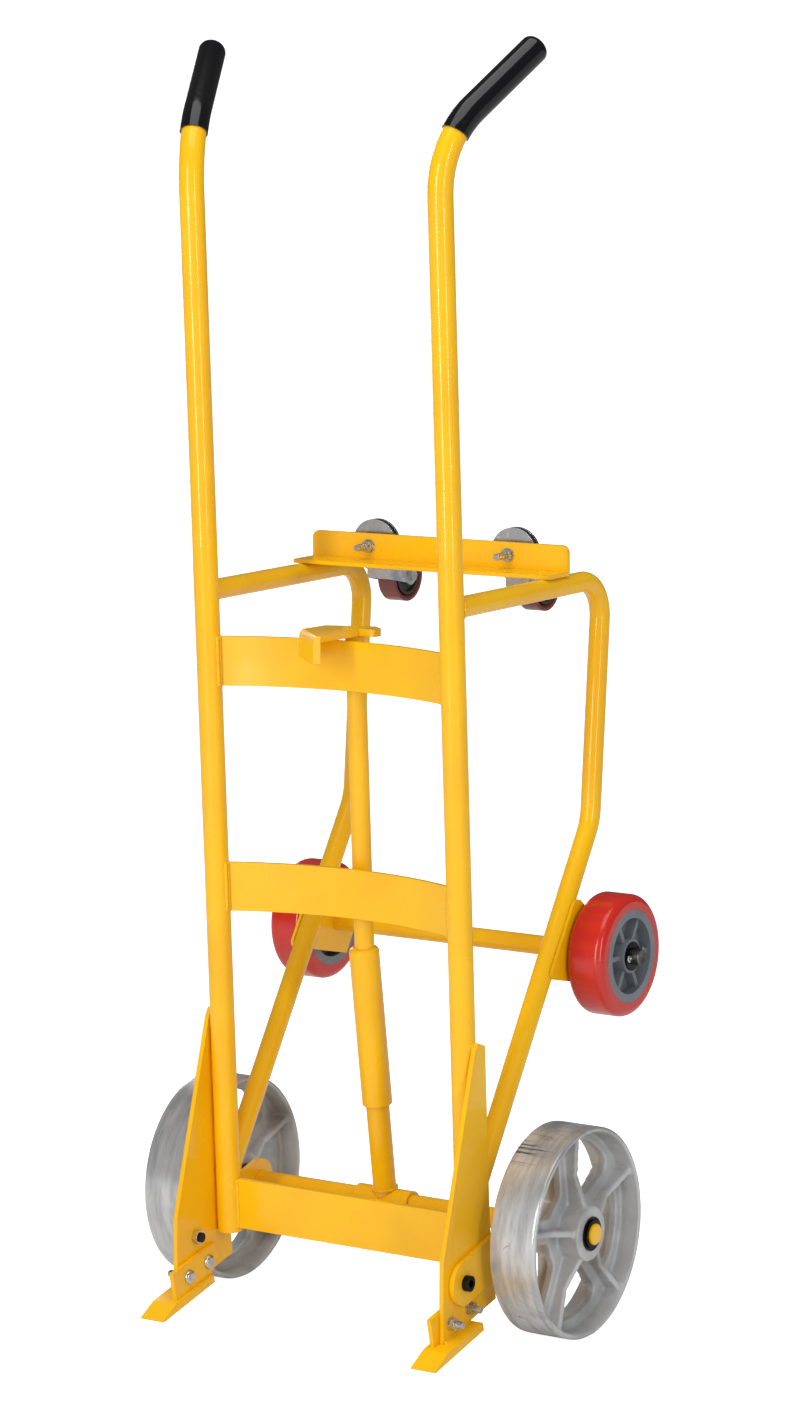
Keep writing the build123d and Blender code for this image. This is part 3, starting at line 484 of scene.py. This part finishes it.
def makeUrethane(name, color, deep, roughness):
    material, tree, shader, where = startMaterial(
        name,
        Coat_Weight=urethane["coat"],
        Coat_Roughness=urethane["coatRoughness"],
        Subsurface_Weight=urethane["depth"],
        Subsurface_Scale=urethane["depthScale"],
    )
    skin = useGroup(tree, orangePeel, Vector=where, Scale=urethane["grainScale"])
    marks = useGroup(
        tree, scratches, Vector=where, Scale=urethane["scratchScale"], Width=urethane["scratchWidth"]
    )
    tree.links.new(mixColors(tree, skin.outputs["Variation"], color, deep), shader.inputs["Base Color"])
    scratchedRoughness(tree, shader, skin.outputs["Variation"], roughness, marks, 0.2)
    addBump(tree, shader, skin.outputs["Height"], 0.15, 0.0005, urethane["edgeRadius"])
    return material


moulded = {
    "grainScale": 900.0,
    "grainDepth": 0.0002,
    "wearRadius": 0.0009,
    "wearBreakup": 120.0,
    "wearAmount": 0.3,
    "wornShade": 2.2,
    "edgeRadius": 0.0008,
}


def makeMoulded(name, color, dark, roughness):
    material, tree, shader, where = startMaterial(name)
    grain = useGroup(tree, castGrain, Vector=where, Scale=moulded["grainScale"])
    worn = useGroup(
        tree,
        edgeWear,
        Vector=where,
        Radius=moulded["wearRadius"],
        Breakup=moulded["wearBreakup"],
        Amount=moulded["wearAmount"],
    )
    tone = mixColors(tree, grain.outputs["Tint"], color, dark)
    bright = tuple(min(1, channel * moulded["wornShade"]) for channel in color)
    tree.links.new(mixColors(tree, worn.outputs["Mask"], tone, bright), shader.inputs["Base Color"])
    tree.links.new(ramp(tree, grain.outputs["Tint"], 0.0, 1.0, *roughness), shader.inputs["Roughness"])
    addBump(tree, shader, grain.outputs["Height"], 0.12, moulded["grainDepth"], moulded["edgeRadius"])
    return material


# after the name come two shades and the range of roughness
materials = {
    "frame_paint": makePaint(),
    "grip_vinyl": makeVinyl(),
    "zinc": makePlated("zincPlate", (0.72, 0.74, 0.76), (0.55, 0.57, 0.6), (0.18, 0.34)),
    "black_steel": makePlated("blackOxide", (0.03, 0.03, 0.032), (0.014, 0.014, 0.016), (0.3, 0.45)),
    "dark_steel": makePlated("rolledSteel", (0.2, 0.195, 0.185), (0.1, 0.095, 0.088), (0.3, 0.5)),
    "cast_metal": makeCast(),
    "bronze": makePlated("bronzeBush", (0.5, 0.33, 0.16), (0.34, 0.21, 0.1), (0.3, 0.45)),
    "hub_plastic": makeMoulded("greyHub", (0.19, 0.21, 0.235), (0.15, 0.165, 0.185), (0.42, 0.52)),
    "red_tread": makeUrethane("redTread", (0.66, 0.025, 0.012), (0.52, 0.014, 0.008), (0.2, 0.3)),
    "caster_core": makeMoulded("casterCore", (0.03, 0.027, 0.026), (0.02, 0.018, 0.018), (0.4, 0.5)),
    "brown_tread": makeUrethane("brownTread", (0.2, 0.03, 0.018), (0.12, 0.018, 0.012), (0.25, 0.35)),
}
for part in frame["record"]["subparts"]:
    nodes[part["node"]].data.materials.clear()
    nodes[part["node"]].data.materials.append(materials[part["material_slot"]])
print("materials placed")


def mergedCopy(node, name):
    mesh = nodes[node].data.copy()
    mesh.name = name
    work = bmesh.new()
    work.from_mesh(mesh)
    bmesh.ops.remove_doubles(work, verts=work.verts, dist=1e-6)
    bmesh.ops.recalc_face_normals(work, faces=work.faces)
    work.to_mesh(mesh)
    work.free()
    made = bpy.data.objects.new(name, mesh)
    bpy.context.scene.collection.objects.link(made)
    return made


def baked(made):
    bpy.context.view_layer.update()
    seen = made.evaluated_get(bpy.context.evaluated_depsgraph_get())
    mesh = bpy.data.meshes.new_from_object(seen)
    made.modifiers.clear()
    made.data = mesh
    return made


wheelCasting = {"voxel": 0.0017, "smoothing": 0.5, "passes": 4}


def makeWheelCasting(hand):
    made = mergedCopy(f"main_wheel_{hand}", f"cast_wheel_{hand}")
    remesh = made.modifiers.new("remesh", "REMESH")
    remesh.mode = "VOXEL"
    remesh.voxel_size = wheelCasting["voxel"]
    smooth = made.modifiers.new("smooth", "SMOOTH")
    smooth.factor = wheelCasting["smoothing"]
    smooth.iterations = wheelCasting["passes"]
    baked(made)
    made.data.shade_smooth()
    made.data.materials.clear()
    made.data.materials.append(materials["cast_metal"])
    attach(made, f"main_wheel_{hand}")
    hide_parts(f"main_wheel_{hand}")


for hand in ("left", "right"):
    makeWheelCasting(hand)
print("cast wheels made")


def newShapeTree(name, numbers, extraLabel, extraKind):
    tree = bpy.data.node_groups.new(name, "GeometryNodeTree")
    tree.interface.new_socket("Geometry", in_out="INPUT", socket_type="NodeSocketGeometry")
    for label, value in numbers.items():
        socket = tree.interface.new_socket(label, in_out="INPUT", socket_type="NodeSocketFloat")
        socket.default_value = value
    tree.interface.new_socket(extraLabel, in_out="INPUT", socket_type=extraKind)
    tree.interface.new_socket("Material", in_out="INPUT", socket_type="NodeSocketMaterial")
    tree.interface.new_socket("Geometry", in_out="OUTPUT", socket_type="NodeSocketGeometry")
    return tree, tree.nodes.new("NodeGroupInput"), tree.nodes.new("NodeGroupOutput")


weld = {
    "pitch": 0.8,  # spacing of the drops, as a share of their radius
    "unevenness": 0.18,
    "segments": 10,
    "rings": 6,
    "seed": 3,
    "frameRadius": 0.0026,
    "postRadius": 0.0022,
    "hookRadius": 0.002,
}


def makeWeldTree():
    numbers = {"Radius": 0.0024, "Pitch": 0.0022, "Roughness": weld["unevenness"]}
    tree, given, result = newShapeTree("weldBead", numbers, "Seed", "NodeSocketInt")
    curve = tree.nodes.new("GeometryNodeMeshToCurve")
    spaced = tree.nodes.new("GeometryNodeResampleCurve")
    spaced.mode = "LENGTH"
    drop = tree.nodes.new("GeometryNodeMeshUVSphere")
    drop.inputs["Segments"].default_value = weld["segments"]
    drop.inputs["Rings"].default_value = weld["rings"]
    onPoints = tree.nodes.new("GeometryNodeInstanceOnPoints")
    tangent = tree.nodes.new("GeometryNodeInputTangent")
    turned = tree.nodes.new("FunctionNodeAlignRotationToVector")
    size = tree.nodes.new("FunctionNodeRandomValue")
    size.data_type = "FLOAT"
    smallest = calculate(tree, "SUBTRACT", 1.0, given.outputs["Roughness"])
    tree.links.new(smallest, size.inputs[2])  # sockets 2 and 3 are the least and most of a single number
    size.inputs[3].default_value = 1.0
    tree.links.new(given.outputs["Seed"], size.inputs["Seed"])
    whole = tree.nodes.new("GeometryNodeRealizeInstances")
    smooth = tree.nodes.new("GeometryNodeSetShadeSmooth")
    paintIt = tree.nodes.new("GeometryNodeSetMaterial")
    tree.links.new(given.outputs["Geometry"], curve.inputs["Mesh"])
    tree.links.new(curve.outputs["Curve"], spaced.inputs["Curve"])
    tree.links.new(given.outputs["Pitch"], spaced.inputs["Length"])
    tree.links.new(given.outputs["Radius"], drop.inputs["Radius"])
    tree.links.new(spaced.outputs["Curve"], onPoints.inputs["Points"])
    tree.links.new(drop.outputs["Mesh"], onPoints.inputs["Instance"])
    tree.links.new(tangent.outputs["Tangent"], turned.inputs["Vector"])
    tree.links.new(turned.outputs["Rotation"], onPoints.inputs["Rotation"])
    tree.links.new(size.outputs[1], onPoints.inputs["Scale"])
    tree.links.new(onPoints.outputs["Instances"], whole.inputs["Geometry"])
    tree.links.new(whole.outputs["Geometry"], smooth.inputs["Geometry"])
    tree.links.new(smooth.outputs["Geometry"], paintIt.inputs["Geometry"])
    tree.links.new(given.outputs["Material"], paintIt.inputs["Material"])
    tree.links.new(paintIt.outputs["Geometry"], result.inputs["Geometry"])
    return tree


weldTree = makeWeldTree()


def setInput(modifier, name, value):
    items = modifier.node_group.interface.items_tree
    modifier[next(item.identifier for item in items if item.name == name and item.in_out == "INPUT")] = value


def makeWelds(name, body, lines, radius):
    mesh = bpy.data.meshes.new(name)
    points = [point for line in lines for point in line]
    edges = []
    start = 0
    for line in lines:
        edges += [(start + i, start + i + 1) for i in range(len(line) - 1)]
        start += len(line)
    mesh.from_pydata(points, edges, [])
    made = bpy.data.objects.new(name, mesh)
    bpy.context.scene.collection.objects.link(made)
    modifier = made.modifiers.new("weld", "NODES")
    modifier.node_group = weldTree
    setInput(modifier, "Radius", radius)
    setInput(modifier, "Pitch", radius * weld["pitch"])
    setInput(modifier, "Seed", weld["seed"])
    setInput(modifier, "Material", materials["frame_paint"])
    baked(made)
    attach(made, body)


truck = {
    "uprightX": 0.172,
    "uprightB": -0.098,
    "uprightRadius": 0.015,
    "rearTubeX": 0.173,
    "rearTubeRadius": 0.0125,
    "rearTopU": 0.758,
    "rearFootU": 0.0365,
    "rearCorner": (0.2445, 0.745),
    "rearKnee": (0.2047, 0.451),
    "barHeight": 0.06,
    "gussetOuterX": 0.193,
    "washerSize": 0.0165,
}
seam = {
    "barInset": 0.002,
    "stitchBack": 0.003,
    "stitches": ((0.225, 0.242), (0.15, 0.185), (0.06, 0.095), (-0.02, 0.012)),
    "copeProud": 0.0006,
    "toeProud": 0.0002,
    "toeDrop": 0.0168,
    "toeFront": 0.036,
    "toeBack": 0.018,
    "linkRadius": 0.0139,
    "collarRise": 0.0172,
    "collarRadius": 0.0146,
    "hookDrop": 0.0012,
    "hookRadius": 0.0124,
}


def circleSeam(center, normal, radius, steps=24):
    axis = normal.normalized()
    side = axis.orthogonal().normalized()
    over = axis.cross(side)
    points = []
    for i in range(steps + 1):
        angle = math.radians(360.0 * i / steps)
        points.append(center + side * radius * math.cos(angle) + over * radius * math.sin(angle))
    return points


def crossbarSeams(node, half):
    low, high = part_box(node)
    foot = placeOf((0, low.y, low.z))[2] + seam["barInset"]
    top = foot + truck["barHeight"] - 2 * seam["barInset"]
    found = []
    for sideSign in (-1, 1):
        inner = sideSign * (truck["uprightX"] - math.sqrt(truck["uprightRadius"] ** 2 - half**2))
        for depth in (-half, half):
            b = truck["uprightB"] + depth
            found.append([place(inner, b, foot), place(inner, b, top)])
    return found


def gussetSeams(side):
    # stitch welds down the front of the gusset, where it meets the upright
    x = side * (truck["uprightX"] + truck["uprightRadius"])
    b = truck["uprightB"] - seam["stitchBack"]
    return [[place(x, b, low), place(x, b, high)] for low, high in seam["stitches"]]


def copeSeam(side, start, towards, steps=28):
    # round the end of a rear tube, where it is coped to its upright
    line = (Vector(towards) - Vector(start)).normalized()
    normal = Vector((-line.y, line.x))
    reach = truck["rearTubeRadius"] + seam["copeProud"]
    points = []
    for i in range(steps + 1):
        turn = 2 * math.pi * i / steps
        x = reach * math.cos(turn)
        lift = reach * math.sin(turn)
        along = (math.sqrt(truck["uprightRadius"] ** 2 - x * x) - lift * normal.x) / line.x
        b = start[0] + lift * normal.x + along * line.x
        u = start[1] + lift * normal.y + along * line.y
        points.append(place(side * truck["rearTubeX"] + x, b, u))
    return points


def toeSeam(side):
    # along the foot of the gusset, below the line between its two bolts and parallel to it
    low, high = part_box("toe_washers")
    between = high - low - Vector((0, truck["washerSize"], truck["washerSize"]))
    along = Vector((0, between.y, between.z)).normalized()
    square = Vector((0, -along.z, along.y))
    center = (low + high) / 2
    center.x = side * (truck["gussetOuterX"] + seam["toeProud"])
    foot = center - square * seam["toeDrop"]
    return [foot - along * seam["toeFront"], foot + along * seam["toeBack"]]


frameSeams = crossbarSeams("upper_crossbar", 0.0025)
frameSeams += crossbarSeams("middle_crossbar", 0.0025)
frameSeams += crossbarSeams("lower_crossbar", 0.003)
for side, hand in ((-1, "left"), (1, "right")):
    frameSeams += gussetSeams(side)
    frameSeams.append(copeSeam(side, (truck["uprightB"], truck["rearTopU"]), truck["rearCorner"]))
    frameSeams.append(copeSeam(side, (truck["uprightB"], truck["rearFootU"]), truck["rearKnee"]))
    frameSeams.append(toeSeam(side))
    linkLow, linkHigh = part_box(f"axle_link_{hand}")
    faceX = linkLow.x if side < 0 else linkHigh.x
    frameSeams.append(circleSeam(place(faceX, 0, 0), Vector((1, 0, 0)), seam["linkRadius"]))
makeWelds("frame_welds", "frame", frameSeams, weld["frameRadius"])
collar = place(middle("post_collar").x, 0, 0) + postAxis * seam["collarRise"]
makeWelds("post_welds", "post", [circleSeam(collar, postAxis, seam["collarRadius"])], weld["postRadius"])
tube = middle("post_upper_tube")
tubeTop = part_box("post_upper_tube")[1].z - seam["hookDrop"]
tubeFoot = place(tube.x, placeOf(tube)[1], 0)
under = tubeFoot + upAxis * ((tubeTop - tubeFoot.z) / upAxis.z)
makeWelds("hook_welds", "hook", [circleSeam(under, upAxis, seam["hookRadius"])], weld["hookRadius"])
print("welds made")


thread = {
    "radius": 0.0038,
    "pitch": 0.00125,
    "depth": 0.0004,
    "steps": 16,
    "toeLength": 0.0082,
    "stemLength": 0.0192,
    "nutMiddle": 0.0075,
    "clearance": 0.0002,
    "stemRise": 0.0006,
}


def makeThreadTree():
    numbers = {"Radius": thread["radius"], "Length": thread["toeLength"]}
    numbers.update({"Pitch": thread["pitch"], "Depth": thread["depth"]})
    tree, given, result = newShapeTree("threadCoil", numbers, "Turn", "NodeSocketVector")
    spiral = tree.nodes.new("GeometryNodeCurveSpiral")
    spiral.inputs["Resolution"].default_value = thread["steps"]
    turns = calculate(tree, "DIVIDE", given.outputs["Length"], given.outputs["Pitch"])
    tree.links.new(turns, spiral.inputs["Rotations"])
    tree.links.new(given.outputs["Radius"], spiral.inputs["Start Radius"])
    tree.links.new(given.outputs["Radius"], spiral.inputs["End Radius"])
    tree.links.new(given.outputs["Length"], spiral.inputs["Height"])
    profile = tree.nodes.new("GeometryNodeCurvePrimitiveCircle")
    profile.inputs["Resolution"].default_value = 4
    tree.links.new(given.outputs["Depth"], profile.inputs["Radius"])
    swept = tree.nodes.new("GeometryNodeCurveToMesh")
    swept.inputs["Fill Caps"].default_value = True
    placed = tree.nodes.new("GeometryNodeInstanceOnPoints")
    whole = tree.nodes.new("GeometryNodeRealizeInstances")
    paintIt = tree.nodes.new("GeometryNodeSetMaterial")
    tree.links.new(spiral.outputs["Curve"], swept.inputs["Curve"])
    tree.links.new(profile.outputs["Curve"], swept.inputs["Profile Curve"])
    tree.links.new(given.outputs["Geometry"], placed.inputs["Points"])
    tree.links.new(swept.outputs["Mesh"], placed.inputs["Instance"])
    tree.links.new(given.outputs["Turn"], placed.inputs["Rotation"])
    tree.links.new(placed.outputs["Instances"], whole.inputs["Geometry"])
    tree.links.new(whole.outputs["Geometry"], paintIt.inputs["Geometry"])
    tree.links.new(given.outputs["Material"], paintIt.inputs["Material"])
    tree.links.new(paintIt.outputs["Geometry"], result.inputs["Geometry"])
    return tree


threadTree = makeThreadTree()


def makeThreads(name, starts, axis, length):
    mesh = bpy.data.meshes.new(name)
    mesh.from_pydata(starts, [], [])
    made = bpy.data.objects.new(name, mesh)
    bpy.context.scene.collection.objects.link(made)
    modifier = made.modifiers.new("thread", "NODES")
    modifier.node_group = threadTree
    setInput(modifier, "Radius", thread["radius"])
    setInput(modifier, "Length", length)
    setInput(modifier, "Pitch", thread["pitch"])
    setInput(modifier, "Turn", tuple(axis.to_track_quat("Z", "Y").to_euler()))
    setInput(modifier, "Material", materials["zinc"])
    baked(made)
    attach(made, "frame")


def toeBoltStarts(side):
    # one start on each bolt, just outside its nut
    low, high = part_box("toe_nuts")
    inset = thread["nutMiddle"]
    x = low.x - thread["clearance"] if side < 0 else high.x + thread["clearance"]
    return [(x, low.y + inset, low.z + inset), (x, high.y - inset, high.z - inset)]


for side, hand in ((-1, "left"), (1, "right")):
    makeThreads(f"toe_threads_{hand}", toeBoltStarts(side), Vector((side, 0, 0)), thread["toeLength"])
stemStarts = []
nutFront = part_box("caster_nuts")[0].y
for hand in ("left", "right"):
    swivel = Vector(joints[f"caster_swivel_{hand}"]["pos_m"])
    gapToNut = (swivel.y - nutFront) / stemAxis.y
    stemStarts.append(tuple(swivel - stemAxis * (gapToNut - thread["stemRise"])))
makeThreads("stem_threads", stemStarts, -stemAxis, thread["stemLength"])
print("threads made")


camera = {
    "position": (2.751, -4.278, 1.393),
    "azimuth": 32.66,
    "elevation": 7.32,
    "roll": 0.36,
    "lens": 109.1,
    "sensor": 36.0,
    "reach": 100.0,
}


def makeCamera():
    data = bpy.data.cameras.new("camera")
    data.lens = camera["lens"]
    data.sensor_width = camera["sensor"]
    data.clip_end = camera["reach"]
    made = bpy.data.objects.new("camera", data)
    bpy.context.scene.collection.objects.link(made)
    azimuth, elevation = math.radians(camera["azimuth"]), math.radians(camera["elevation"])
    level = math.cos(elevation)
    towards = Vector((math.sin(azimuth) * level, -math.cos(azimuth) * level, math.sin(elevation)))
    across = (-towards).cross(Vector((0, 0, 1))).normalized()
    above = across.cross(-towards).normalized()
    roll = math.radians(camera["roll"])
    right = across * math.cos(roll) + above * math.sin(roll)
    top = above * math.cos(roll) - across * math.sin(roll)
    turned = Matrix((right, top, towards)).transposed().to_4x4()
    made.matrix_world = Matrix.Translation(camera["position"]) @ turned
    bpy.context.scene.camera = made


floor = {"half": 40.0, "shade": 0.8, "roughness": 0.9, "specular": 0.05, "glow": 0.9}


def makeFloor():
    mesh = bpy.data.meshes.new("floor")
    half = floor["half"]
    corners = [(-half, -half, 0), (half, -half, 0), (half, half, 0), (-half, half, 0)]
    mesh.from_pydata(corners, [], [(0, 1, 2, 3)])
    made = bpy.data.objects.new("floor", mesh)
    bpy.context.scene.collection.objects.link(made)
    material, tree, shader, _ = startMaterial(
        "paleFloor",
        Base_Color=(floor["shade"], floor["shade"], floor["shade"], 1),
        Roughness=floor["roughness"],
        Specular_IOR_Level=floor["specular"],
        Emission_Color=(1, 1, 1, 1),
    )
    path = tree.nodes.new("ShaderNodeLightPath")  # the sweep reads as white without lighting the truck
    glow = calculate(tree, "MULTIPLY", path.outputs["Is Camera Ray"], floor["glow"])
    tree.links.new(glow, shader.inputs["Emission Strength"])
    mesh.materials.append(material)


studio = {
    "fill": 0.56,
    "behind": 0.7,
    "darkRoom": 0.48,
    "boxes": (
        ("stripFront", (-0.2, -3.3, 1.3), (0.3, 2.2), 40),
        ("stripRight", (3.3, -1.9, 1.3), (0.22, 2.2), 26),
        ("softboxTop", (0.3, -0.8, 3.4), (2.2, 2.2), 28),
        ("stripBack", (-2.8, 2.2, 1.5), (0.6, 2.0), 14),
    ),  # name, position, size, watts
    "target": (0, 0, 0.75),
}


def makeArea(name, position, target, size, power):
    data = bpy.data.lights.new(name, "AREA")
    data.shape = "RECTANGLE"
    data.size, data.size_y = size
    data.energy = power
    made = bpy.data.objects.new(name, data)
    bpy.context.scene.collection.objects.link(made)
    made.location = position
    made.rotation_euler = (Vector(target) - Vector(position)).to_track_quat("-Z", "Y").to_euler()


def makeLights():
    world = bpy.data.worlds.new("studio")
    bpy.context.scene.world = world
    world.use_nodes = True
    tree = world.node_tree
    background = tree.nodes["Background"]
    background.inputs["Color"].default_value = (1, 1, 1, 1)
    path = tree.nodes.new("ShaderNodeLightPath")
    seen = calculate(tree, "MULTIPLY_ADD", path.outputs["Is Camera Ray"], studio["behind"])
    seen.node.inputs[2].default_value = studio["fill"]
    strength = calculate(tree, "MULTIPLY_ADD", path.outputs["Is Glossy Ray"], -studio["darkRoom"])
    tree.links.new(seen, strength.node.inputs[2])
    tree.links.new(strength, background.inputs["Strength"])
    for name, position, size, power in studio["boxes"]:
        makeArea(name, position, studio["target"], size, power)


makeCamera()
makeFloor()
makeLights()
bpy.context.scene.view_settings.view_transform = "Standard"
print("studio ready")
